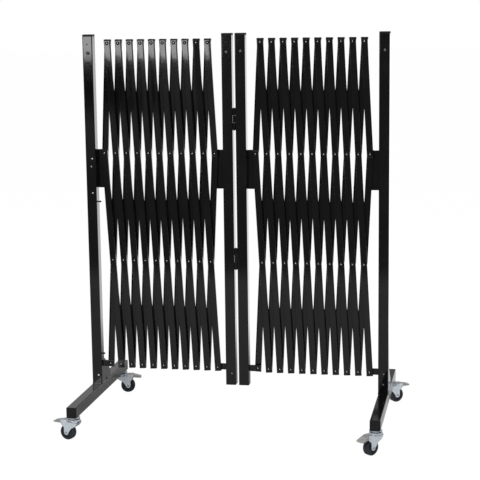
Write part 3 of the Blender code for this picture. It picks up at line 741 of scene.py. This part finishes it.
def fittings(shell, axis, toward, front_tab):
    """Guide plate, pivot tab and a front tab's rivet; toward is the lattice's side, -1 or +1."""
    face = axis + toward * POST_HALF
    pivot = face + toward * PIVOT_OUT
    root, end = face - toward * 0.0005, pivot + toward * PLATE_EDGE
    mid_x, half_x = (root + end) / 2, abs(end - root) / 2
    mid_z = ROWS[2] + (PLATE_RISE - PLATE_DROP) / 2
    outer = even_loop(square_loop(half_x, (PLATE_RISE + PLATE_DROP) / 2, PLATE_ROUND, 6))
    slot_half = (SLOT_DROP + SLOT_RISE) / 2
    slot_mid = ROWS[2] + (SLOT_RISE - SLOT_DROP) / 2 - mid_z
    slot = square_loop(SLOT_R, slot_half + SLOT_R, SLOT_R - 0.00001, 8, 0.0001)
    points, normals = even_loop(slot)
    inner = (points + (pivot - mid_x, slot_mid), normals)
    slotted(shell, outer, inner, facing(1, mid_x, mid_z, MID_Y + PLATE_IN + PLATE_T / 2))
    tab_end = pivot + toward * (SLAT_HALF - 0.0003)
    depth = -SLAT_LAYER - TAB_T if front_tab else SLAT_OUT - TAB_T
    tab = square_loop(abs(tab_end - root) / 2, TAB_HALF, TAB_ROUND, 5)
    put = facing(1, (root + tab_end) / 2, ROWS[4])
    shell.block(tab, rounded_ends(depth, depth + TAB_T, 0.0006, 2), put)
    if front_tab:
        rivet(shell, pivot, ROWS[4], -1, SLAT_LAYER + TAB_T)


print("guide slot", SLOT_DROP + SLOT_RISE, "m")

# %% [markdown]
# ## Centre posts and hinges
#
# Two barrel hinges on one vertical axis let the panels fold.  The left post has the
# outer knuckles and the pin's domed ends, the right one the knuckle between them, with
# a small gap so that they turn without touching.

# %% Centre posts
HINGE_LEN = 0.084
HINGE_MIDDLES = (ROWS[2] + 0.133, ROWS[3] + 0.014)
KNUCKLE_R, KNUCKLE_GAP = 0.0057, 0.0004
LEAF_FROM, LEAF_TO, LEAF_BACK = 0.002, 0.0064, 0.0016
PIN_DOME = [(0.0046, -0.0004), (0.0046, 0.0004), (0.004, 0.0012), (0.0024, 0.0018), (0.0003, 0.002)]


def post_tube(shell, caps, axis, low, high, bottom_cap):
    """The square tube, its top cap, and a cap below where the post hangs free."""
    put = upright(axis, MID_Y)
    tube = square_loop(POST_HALF, POST_HALF, TUBE_ROUND, 5)
    shell.block(tube, rounded_ends(low, high - POST_CAP_H + 0.0006, 0.0004, 1), put)
    cap = square_loop(POST_HALF, POST_HALF, CAP_ROUND, 5)
    caps.block(cap, rounded_ends(high - POST_CAP_H, high, 0.0022, 4), put, plastic=1.0)
    if bottom_cap:
        caps.block(cap, rounded_ends(low - 0.0002, low + 0.004, 0.0012, 3), put, plastic=1.0)


def hinges(shell, side):
    """Knuckles and leaves; the left post has the pins too."""
    third = (HINGE_LEN - 2 * KNUCKLE_GAP) / 3
    axis = upright(*HINGE[:2])
    for middle in HINGE_MIDDLES:
        lows = middle - HINGE_LEN / 2 + np.arange(3) * (third + KNUCKLE_GAP)
        for low in lows[::2] if side < 0 else lows[1:2]:
            shell.block(circle_loop(KNUCKLE_R, 28), rounded_ends(low, low + third, 0.0007, 2), axis)
            near, far = HINGE[0] + side * LEAF_FROM, HINGE[0] + side * LEAF_TO
            leaf = square_loop(abs(far - near) / 2, 0.0012, 0.0004, 2, TINY_HOLD)
            put = upright((near + far) / 2, HINGE[1] - LEAF_BACK)
            shell.block(leaf, rounded_ends(low, low + third, 0.0004, 2), put)
        if side < 0:
            for tip, way in ((lows[2] + third, 1), (lows[0], -1)):
                shell.turned([(r, tip + way * h) for r, h in PIN_DOME], axis, 20)


def finish_post(shell, caps, name, axis):
    """The front screws, then two pieces: the steel, which stands for the node, and caps."""
    for across, z, radius, rise, bare in FRONT_SCREWS[name]:
        screw(shell, facing(-1, axis + across, z, MID_Y - POST_HALF), radius, rise, bare)
    shell.piece(name + "_steel", POST_COAT, name, "post_black", name)
    caps.piece(name + "_caps", POST_COAT, name, "post_black")
    print(name, "at x", round(axis, 4), "with", shell.count, "points")


def centre_post(name, side):
    """side is -1 for the left post and +1 for the right one."""
    axis, low, high = post_axis(name)
    shell, caps = Shell(), Shell()
    post_tube(shell, caps, axis, low, high, True)
    fittings(shell, axis, side, side > 0)
    hinges(shell, side)
    finish_post(shell, caps, name, axis)


centre_post("left_centre_post", -1)
centre_post("right_centre_post", 1)

# %% [markdown]
# ## End posts on their feet
#
# The foot is the same tube laid front to back, with a flat cap in each end.  The cheeks
# behind the post are 3 mm plates with a long slope, drawn as rounded polygons.  A foot
# gets kicked, so its coat is a little duller.

# %% End posts
FOOT_H = 0.042
FOOT_DULL = 0.12
FOOT_CAP_T, FOOT_CAP_IN = 0.004, 0.0006
SUNK = 0.001
WELD_R = 0.0016
CHEEK_T, CHEEK_FACE = 0.003, 0.01725
CHEEK_L, CHEEK_H, CHEEK_NOSE, CHEEK_TOP = 0.085, 0.094, 0.03, 0.012


def foot_tube(shell, caps, axis, low, mid_y, half_y):
    """The tube laid front to back, and its two caps."""
    put = facing(1, axis, low + FOOT_H / 2, mid_y)
    tube = square_loop(POST_HALF, FOOT_H / 2, TUBE_ROUND, 5)
    shell.block(tube, rounded_ends(-half_y + 0.0004, half_y - 0.0004, 0.0004, 1), put, plastic=FOOT_DULL)
    cap = square_loop(POST_HALF - FOOT_CAP_IN, FOOT_H / 2 - FOOT_CAP_IN, TUBE_ROUND, 5)
    for a, b in ((-half_y, -half_y + FOOT_CAP_T), (half_y - FOOT_CAP_T, half_y)):
        caps.block(cap, rounded_ends(a, b, 0.0012, 3), put, plastic=1.0)


def gusset(shell, axis, top):
    """Two cheeks, (behind, up): low nose, long slope, short top edge."""
    root, nose = POST_HALF - SUNK, POST_HALF + CHEEK_L
    outline = [(root, -SUNK), (nose, -SUNK), (nose, CHEEK_NOSE), (POST_HALF + CHEEK_TOP, CHEEK_H),
               (root, CHEEK_H)]
    cheek = corner_loop(outline, [0.0005, 0.0015, 0.004, 0.01, 0.0005], 5)
    for centre in (axis - CHEEK_FACE, axis + CHEEK_FACE):
        shell.block(cheek, rounded_ends(-CHEEK_T / 2, CHEEK_T / 2, 0.0006, 2), sideways(centre, MID_Y, top))


def end_post(name, side):
    """side is -1 for the left post, which has the side buttons, and +1 for the right one."""
    axis, low, high = post_axis(name)
    box_low, box_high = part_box(name)
    top = low + FOOT_H
    shell, caps = Shell(), Shell()
    post_tube(shell, caps, axis, top - SUNK, high, False)
    foot_tube(shell, caps, axis, low, (box_low[1] + box_high[1]) / 2, (box_high[1] - box_low[1]) / 2)
    weld(shell, square_loop(POST_HALF, POST_HALF, TUBE_ROUND, 5), top, upright(axis, MID_Y), WELD_R)
    gusset(shell, axis, top)
    fittings(shell, axis, -side, side < 0)
    if side < 0:
        for button in SIDE_BUTTONS:
            side_button(shell, axis, *button)
    finish_post(shell, caps, name, axis)


end_post("left_end_post", -1)
end_post("right_end_post", 1)

# %% [markdown]
# ## Castors
#
# Each castor has a pressed fork under a ball race, a wheel on a bolt, and a pedal
# between the fork's cheeks.  They are built in their own frame, +X the way they trail.
# The fork's side is a polygon with an arc round the axle, and its deck is a channel.

# %% Fork
CASTORS = ("lf", "lr", "rf", "rr")
WHEEL_R = place("wheel_lf")[2]
TRAIL = float(np.linalg.norm((place("wheel_lf") - place("swivel_lf"))[:2]))
FORK_TOP = 0.078
FORK_IN, FORK_WALL = 0.0286, 0.0025
FORK_OUT = FORK_IN / 2 + FORK_WALL
FORK_LEAD, TAIL_BACK, DECK_BACK, EAR_R = 0.0225, 0.0492, 0.024, 0.009
DECK_T, DECK_SIDE, DECK_RADII = 0.003, 0.008, (0.0003, 0.0045, 0.0015)
RACE_SIDES = 40
RACE_LOWER = [(0.01, 0.0), (0.024, 0.0), (0.025, 0.0008), (0.025, 0.0028), (0.0242, 0.004), (0.021, 0.0045),
              (0.01, 0.0045)]
RACE_SEAL = [(0.01, 0.0041), (0.0226, 0.0041), (0.0226, 0.009), (0.01, 0.009)]
RACE_UPPER = [(0.01, 0.0086), (0.0236, 0.0086), (0.0246, 0.0094), (0.0246, 0.0112), (0.0234, 0.0126),
              (0.0205, 0.0134), (0.0176, 0.0137), (0.006, 0.0137)]


def castor_frame(code):
    """(trailing, sideways, up) to the shared frame for one castor."""
    at, axis = place(f"swivel_{code}"), joints[f"wheel_{code}"]["axis"]
    yaw = np.arctan2(-axis[0], axis[1])
    c, s = np.cos(yaw), np.sin(yaw)
    return lambda x, y, z: np.stack([at[0] + c * x - s * y, at[1] + s * x + c * y, z + 0 * x], -1)


def about_axle(put):
    """Height runs along the axle, and across and up lie round it."""
    return lambda a, b, h: put(TRAIL + a, h, WHEEL_R + b)


def upright_plates(shell, put, outline, off, half_t):
    """Two plates with the same side view, `off` to both sides of the castor's middle."""
    for centre in (-off, off):
        shell.block(outline, rounded_ends(-half_t, half_t, 0.0004, 2, FINE_HOLD),
                    lambda a, b, h, centre=centre: put(a, centre + h, b))


def fork_outline():
    """A cheek's side view, (trailing, height): deck, tail, ear round the axle, waist and lip."""
    top, under = FORK_TOP - 0.0004, FORK_TOP - DECK_T
    tail = [(DECK_BACK, under), (DECK_BACK + 0.0006, top), (TAIL_BACK, top), (TAIL_BACK, 0.0615),
            (0.044, 0.0575), (0.035, 0.05)]
    turn = np.radians(np.arange(360, 179, -20))
    ear = [(TRAIL + EAR_R * np.cos(t), WHEEL_R + EAR_R * np.sin(t)) for t in turn]
    waist = [(0.004, 0.0473), (-0.015, 0.058), (-FORK_LEAD, 0.069), (-FORK_LEAD, under)]
    radii = [0.0004, 0.001, 0.002, 0.003, 0.004, 0.006] + [0.0012] * len(ear) + [0.006, 0.006, 0.003, 0.0012]
    return corner_loop(tail + ear + waist, radii, 3, TINY_HOLD)


def castor_fork(code):
    """Two cheeks, the deck, the race on top, and the axle with its bolt heads."""
    put, shell = castor_frame(code), Shell()
    upright_plates(shell, put, fork_outline(), (FORK_IN + FORK_WALL) / 2, FORK_WALL / 2)
    skirt, under = FORK_TOP - DECK_SIDE, FORK_TOP - DECK_T
    deck = channel_loop(FORK_OUT, FORK_IN / 2, skirt, FORK_TOP, under, DECK_RADII, 5)
    deck_ends = np.array([(-FORK_LEAD - 0.0004, 0.0), (DECK_BACK + 0.0002, 0.0)])
    shell.block(deck, deck_ends, lambda a, b, h: put(h, a, b))
    for profile, plastic in ((RACE_LOWER, 0.0), (RACE_SEAL, 1.0), (RACE_UPPER, 0.0)):
        shell.turned([(r, FORK_TOP + h) for r, h in profile], put, RACE_SIDES, plastic=plastic)
    hexagon = corner_loop(circle_loop(0.0048, 6)[0], 0.0005, 1, TINY_HOLD)
    axle_put = about_axle(put)
    for turn in (-1, 1):
        def bolt(a, b, h, turn=turn):
            return axle_put(a, b, turn * (FORK_OUT + h))
        shell.block(circle_loop(0.006, 24), rounded_ends(-0.0004, 0.0008, 0.0003, 1, TINY_HOLD), bolt)
        shell.block(hexagon, rounded_ends(0.0006, 0.0042, 0.0008, 2, FINE_HOLD), bolt, plastic=0.45)
    axle = FORK_IN / 2 + 0.001
    shell.turned([(0.004, -axle), (0.004, axle)], axle_put, 20)
    shell.piece(f"castor_{code}_fork", ZINC, f"castor_{code}", "zinc", f"castor_fork_{code}")


for code in CASTORS:
    castor_fork(code)
print("forks", len(CASTORS), "trail", round(TRAIL, 4), "wheel radius", round(WHEEL_R, 4))

# %% [markdown]
# ## Wheels
#
# A wheel is a tyre with rounded shoulders round a thinner core with a bearing boss.
# Both are closed profiles turned about the axle, so they need no caps.

# %% Wheels
WHEEL_SIDES, WASHER_SIDES = 56, 28
SHOULDER_R, SHOULDER_AT, TREAD_HALF = 0.0042, 0.0258, 0.0078
TYRE_BEAD = [(0.0206, 0.0108), (0.0212, 0.012)]
CORE_HALF = [(0.0046, 0.0133), (0.0085, 0.0133), (0.0092, 0.0124), (0.0104, 0.008), (0.0116, 0.0072),
             (0.0172, 0.0072), (0.0188, 0.0082), (0.0196, 0.0104), (0.0208, 0.0108)]
WASHER = np.array([(0.0043, 0.0128), (0.0043, 0.01355), (0.007, 0.01355), (0.007, 0.0128)])


def mirrored(half):
    """A half profile (radius, along the axle) and the same again on the other side."""
    half = np.asarray(half)
    return np.concatenate([half, half[::-1] * (1, -1)])


def castor_wheel(code):
    """Tyre, core and washers; a shoulder is a quarter circle of SHOULDER_R."""
    put, shell = about_axle(castor_frame(code)), Shell()
    t = np.linspace(0, np.pi / 2, 6)
    shoulder = np.stack([SHOULDER_AT + SHOULDER_R * np.sin(t), TREAD_HALF + SHOULDER_R * np.cos(t)], -1)
    shell.turned(mirrored(np.concatenate([TYRE_BEAD, shoulder])), put, WHEEL_SIDES, closed=True)
    shell.turned(mirrored(CORE_HALF), put, WHEEL_SIDES, closed=True, plastic=1.0)
    for turn in (-1, 1):
        shell.turned(WASHER * (1, turn), put, WASHER_SIDES, closed=True, bare=1.0)
    shell.piece(f"castor_{code}_wheel", WHEEL_BLACK, f"wheel_{code}", "wheel_black", f"castor_wheel_{code}")
    return shell.count


print("wheel points", [castor_wheel(code) for code in CASTORS])

# %% [markdown]
# ## The brake pedal
#
# The pedal is one pressing: a box that turns between the cheeks and a broad ribbed
# blade for the shoe.  The blade's top is a height over a rounded rectangle, and its
# ribs are bumps in that height.  How far it hangs follows the photograph.

# %% Brake pedal
PEDAL_X, PEDAL_Z = 0.045, 0.066
PEDAL_TOP, PEDAL_DEEP = FORK_TOP - 0.0003, 0.0162
PEDAL_FRONT, PEDAL_REAR = 0.0246, 0.0526
PEDAL_HALF = FORK_IN / 2 - 0.0004
BLADE_FROM, BLADE_TO, BLADE_HALF, BLADE_T = 0.05, 0.084, 0.0185, 0.002
BLADE_DROP = {"lf": 0.0062, "lr": 0.0095, "rf": 0.015, "rr": 0.0062}
TIP_FROM, TIP_CUT = 0.86, 0.55
RIB_PITCH, RIB_WIDTH, RIB_H = 17, 2.6, 0.0009
SKIRT_DEEP, SKIRT_HALF_T = 0.0125, 0.0009
PIN_R, PIN_END = 0.0024, FORK_OUT + 0.0008


def blade_half(u):
    """Half the blade's width at the share u of its length."""
    return BLADE_HALF * (0.9 + 0.1 * u)


def blade(shell, put, drop):
    """The blade: its top is slope + rib height, and the slope falls by drop * u to the power 1.1.

    A rib is exp(-(distance from its middle / width) squared), in hundredths of the blade,
    and fades at the sides and near the fork.  Returns the slope.
    """
    u, v = np.linspace(0, 1, 49)[:, None], np.linspace(-1, 1, 25)[None, :]
    x = BLADE_FROM + (BLADE_TO - BLADE_FROM) * u + 0 * v
    tip = np.sqrt(1 - np.clip((u - TIP_FROM) / (1 - TIP_FROM), 0, 1) ** 2 * TIP_CUT)
    y = v * blade_half(u) * tip
    slope = PEDAL_TOP - 0.0018 - drop * u ** 1.1
    ribs = np.exp(-((u * 100 % RIB_PITCH - RIB_PITCH / 2) / RIB_WIDTH) ** 2)
    fade = (1 - np.abs(v) - 0.18).clip(0, 0.12) / 0.12 * ((u - 0.22) / 0.06).clip(0, 1)
    top = np.stack([x, y, slope + RIB_H * ribs * fade], -1)
    under = np.stack([x, y, slope - BLADE_T + 0 * y], -1)
    ring = np.concatenate([top, under[:, ::-1]], 1)
    shell.grid(put(ring[..., 0], ring[..., 1], ring[..., 2]))
    return slope[:, 0]


def castor_pedal(code):
    """The box, the blade with its folded sides, and the pin."""
    put, shell = castor_frame(code), Shell()
    low, top = PEDAL_TOP - PEDAL_DEEP, PEDAL_TOP - 0.0005
    wall = [(PEDAL_FRONT, top), (PEDAL_FRONT, PEDAL_TOP - PEDAL_DEEP * 0.4), (PEDAL_X - 0.0025, low),
            (PEDAL_X + 0.0025, low), (PEDAL_REAR, PEDAL_TOP - PEDAL_DEEP * 0.62), (PEDAL_REAR, top)]
    side = corner_loop(wall, [0.0012, 0.003, 0.004, 0.004, 0.003, 0.0012], 3, FINE_HOLD)
    upright_plates(shell, put, side, PEDAL_HALF - 0.001, 0.001)
    strap = square_loop(PEDAL_HALF, 0.0011, 0.0009, 3, FINE_HOLD)
    strap_ends = rounded_ends(PEDAL_FRONT + 0.0001, PEDAL_REAR + 0.0004, 0.0005, 2, FINE_HOLD)
    shell.block(strap, strap_ends, lambda a, b, h: put(h, a, PEDAL_TOP - 0.0012 + b))
    slope = blade(shell, put, BLADE_DROP[code])
    skirt = [(BLADE_FROM, PEDAL_TOP - 0.0016), (BLADE_FROM, PEDAL_TOP - SKIRT_DEEP),
             (BLADE_TO - 0.004, slope[-5] - 0.0042), (BLADE_TO - 0.003, slope[-4] - 0.0006)]
    fold = corner_loop(skirt, [0.001, 0.003, 0.001, 0.0008], 3, TINY_HOLD)
    for turn in (-1, 1):
        def beside(a, b, h, turn=turn):
            edge = blade_half((a - BLADE_FROM) / (BLADE_TO - BLADE_FROM)) - SKIRT_HALF_T
            return put(a, turn * edge + h, b)
        shell.block(fold, rounded_ends(-SKIRT_HALF_T, SKIRT_HALF_T, 0.0004, 2, TINY_HOLD), beside)
    pin = mirrored([(0.001, -PIN_END - 0.0006), (0.0022, -PIN_END), (PIN_R, -PIN_END + 0.0006)])
    shell.turned(pin, lambda a, b, h: put(PEDAL_X + a, h, PEDAL_Z + b), 20)
    shell.piece(f"castor_{code}_pedal", PEDAL_ZINC, f"pedal_{code}", "pedal_zinc", f"castor_pedal_{code}")
    return shell.count


print("pedal points", [castor_pedal(code) for code in CASTORS])

# %% [markdown]
# ## Floor
#
# The barrier stands in a white studio.  To the camera the floor is white with a trace
# of shadow.  What counts is what the gloss black mirrors: to every other ray it is grey
# paper with a painted pool of light, its grey raised behind and to the right, a dim room
# in front, and a glowing backdrop from 0.9 m behind, all one square with a mix of shaders.

# %% Floor
FLOOR_HALF = 60.0
WHITE = rgb(1, 1, 1)
SHADE_SHARE, EYE_WHITE = 0.06, 1.03
BACKDROP_FROM, BACKDROP_FULL, BACKDROP_GLOW = 0.9, 1.8, 1.9
ROOM_FROM, ROOM_FULL = -2.85, -3.35
ROOM_GLOW, FAR_LEFT_GLOW, GAP_GLOW = 0.13, 0.28, 0.0


def glow(tree, strength):
    """White light of its own."""
    return tree.node("ShaderNodeEmission", {"Color": WHITE, "Strength": strength})


def floor_finish():
    """Paper with painted light, room and backdrop by place; near white to the camera."""
    made, tree, shader, where = new_finish("floor_paper")
    x, y, _ = where.axes()
    # Painted light: the paper's grey rises from 0.42 to 0.88 behind and to the right, a pool of light for
    # the gloss to mirror.
    paper_painted_light = 0.42 + y.ramp(-0.6, 0.2) * (0.06 + x.ramp(0.15, 0.6) * 0.4)
    matt = tree.node("ShaderNodeBsdfDiffuse", {"Color": paper_painted_light.grey()})
    lit = y.ramp(BACKDROP_FROM, BACKDROP_FULL).blend(matt, glow(tree, BACKDROP_GLOW))
    bearing = x / y
    far_left = y.ramp(-9.0, -11.0) * bearing.ramp(0.195, 0.215)
    room = far_left.blend(glow(tree, ROOM_GLOW), glow(tree, FAR_LEFT_GLOW))
    gap = y.ramp(-16.0, -20.0) * bearing.ramp(0.262, 0.285)
    room = gap.blend(room, glow(tree, GAP_GLOW))
    mirrored_floor = y.ramp(ROOM_FROM, ROOM_FULL).blend(lit, room)
    shade = tree.node("ShaderNodeBsdfDiffuse", {"Color": rgb(0.9, 0.9, 0.9)})
    to_eye = tree.node("ShaderNodeMixShader", {0: SHADE_SHARE, 1: glow(tree, EYE_WHITE), 2: shade})
    seen = tree.node("ShaderNodeLightPath", output="Is Camera Ray").blend(mirrored_floor, to_eye)
    tree.tree.nodes.remove(shader)
    tree.feed(tree.tree.nodes["Material Output"].inputs["Surface"], seen)
    return made


line = np.linspace(-FLOOR_HALF, FLOOR_HALF, 3)
across, along = np.meshgrid(line, line, indexing="ij")
paper = Shell()
paper.grid(np.stack([across, along, 0 * across], -1), around=False)
floor = paper.link("studio_floor")
floor.data.materials.append(floor_finish())
print("floor", 2 * FLOOR_HALF, "m square")

# %% [markdown]
# ## World
#
# The world is white to the camera and grey to matt surfaces.  Gloss rays see a room:
# almost dark, a little lighter behind the camera, and a pale rear wall, brightest at
# the right, over the glowing foot of the backdrop.

# %% World
PLAIN = 0.42
DARK, FRONT_LIFT, REAR_LIFT = 0.02, 0.1, 0.16
WALL, WALL_DIP, WALL_RIGHT = 0.38, 0.3, 0.4
BACKDROP_FOOT = 1.7

world = bpy.data.worlds.new("studio")
scene.world = world
world.use_nodes = True
sky = Signal(world.node_tree)
x, y, z = sky.node("ShaderNodeTexCoord", output="Generated").axes()
to_camera = sky.node("ShaderNodeLightPath", output="Is Camera Ray")
to_gloss = sky.node("ShaderNodeLightPath", output="Is Glossy Ray")
rear = y.ramp(0.0, 0.8)
wall = WALL - x.ramp(-0.25, -0.1) * WALL_DIP + x.ramp(0.0, 0.3) * WALL_RIGHT
mirror = DARK + y.ramp(0.0, -0.8) * FRONT_LIFT + rear * (REAR_LIFT + z.ramp(-0.02, 0.2) * wall)
mirror = mirror + rear * z.ramp(0.01, -0.02) * BACKDROP_FOOT
unseen = PLAIN + to_gloss * (mirror - PLAIN)
level = unseen + to_camera * (1.0 - unseen)
sky.feed(world.node_tree.nodes["Background"].inputs["Color"], level.grey())
print("world nodes", len(world.node_tree.nodes))

# %% [markdown]
# ## Lamps
#
# Three soft boxes: one at the left, which shows as the bright tops of the left post and
# slats, one overhead, and a wide one in front that gloss doesn't mirror.


# %% Lamps
def soft_box(name, at, toward, width, height, radiance, seen_in_gloss=True):
    """A rectangular lamp; its power is radiance times pi times its area."""
    data = bpy.data.lights.new(name, "AREA")
    data.shape = "RECTANGLE"
    data.size, data.size_y = width, height
    data.energy = radiance * np.pi * width * height
    lamp = bpy.data.objects.new(name, data)
    back = np.subtract(at, toward)
    back /= np.linalg.norm(back)
    side = np.cross((0, 0, 1.0), back) if abs(back[2]) < 0.99 else np.array((1.0, 0, 0))
    side /= np.linalg.norm(side)
    basis = np.eye(4)
    basis[:3] = np.stack([side, np.cross(back, side), back, at], -1)
    lamp.matrix_world = Matrix(basis.tolist())
    lamp.visible_camera = False
    lamp.visible_glossy = seen_in_gloss
    scene.collection.objects.link(lamp)
    print(name, "power", round(data.energy, 1), "W")


soft_box("left_box", (-1.86, -5.3, 2.08), (-1.53, 0.0, 2.08), 1.24, 1.62, 7.4)
soft_box("overhead", (0.0, -0.2, 3.6), (0.0, 0.0, 0.0), 3.6, 2.6, 2.6)
soft_box("front_fill", (0.5, -6.0, 2.6), (0.0, 0.0, 0.3), 4.0, 2.4, 4.5, False)
scene.view_settings.view_transform = "Standard"
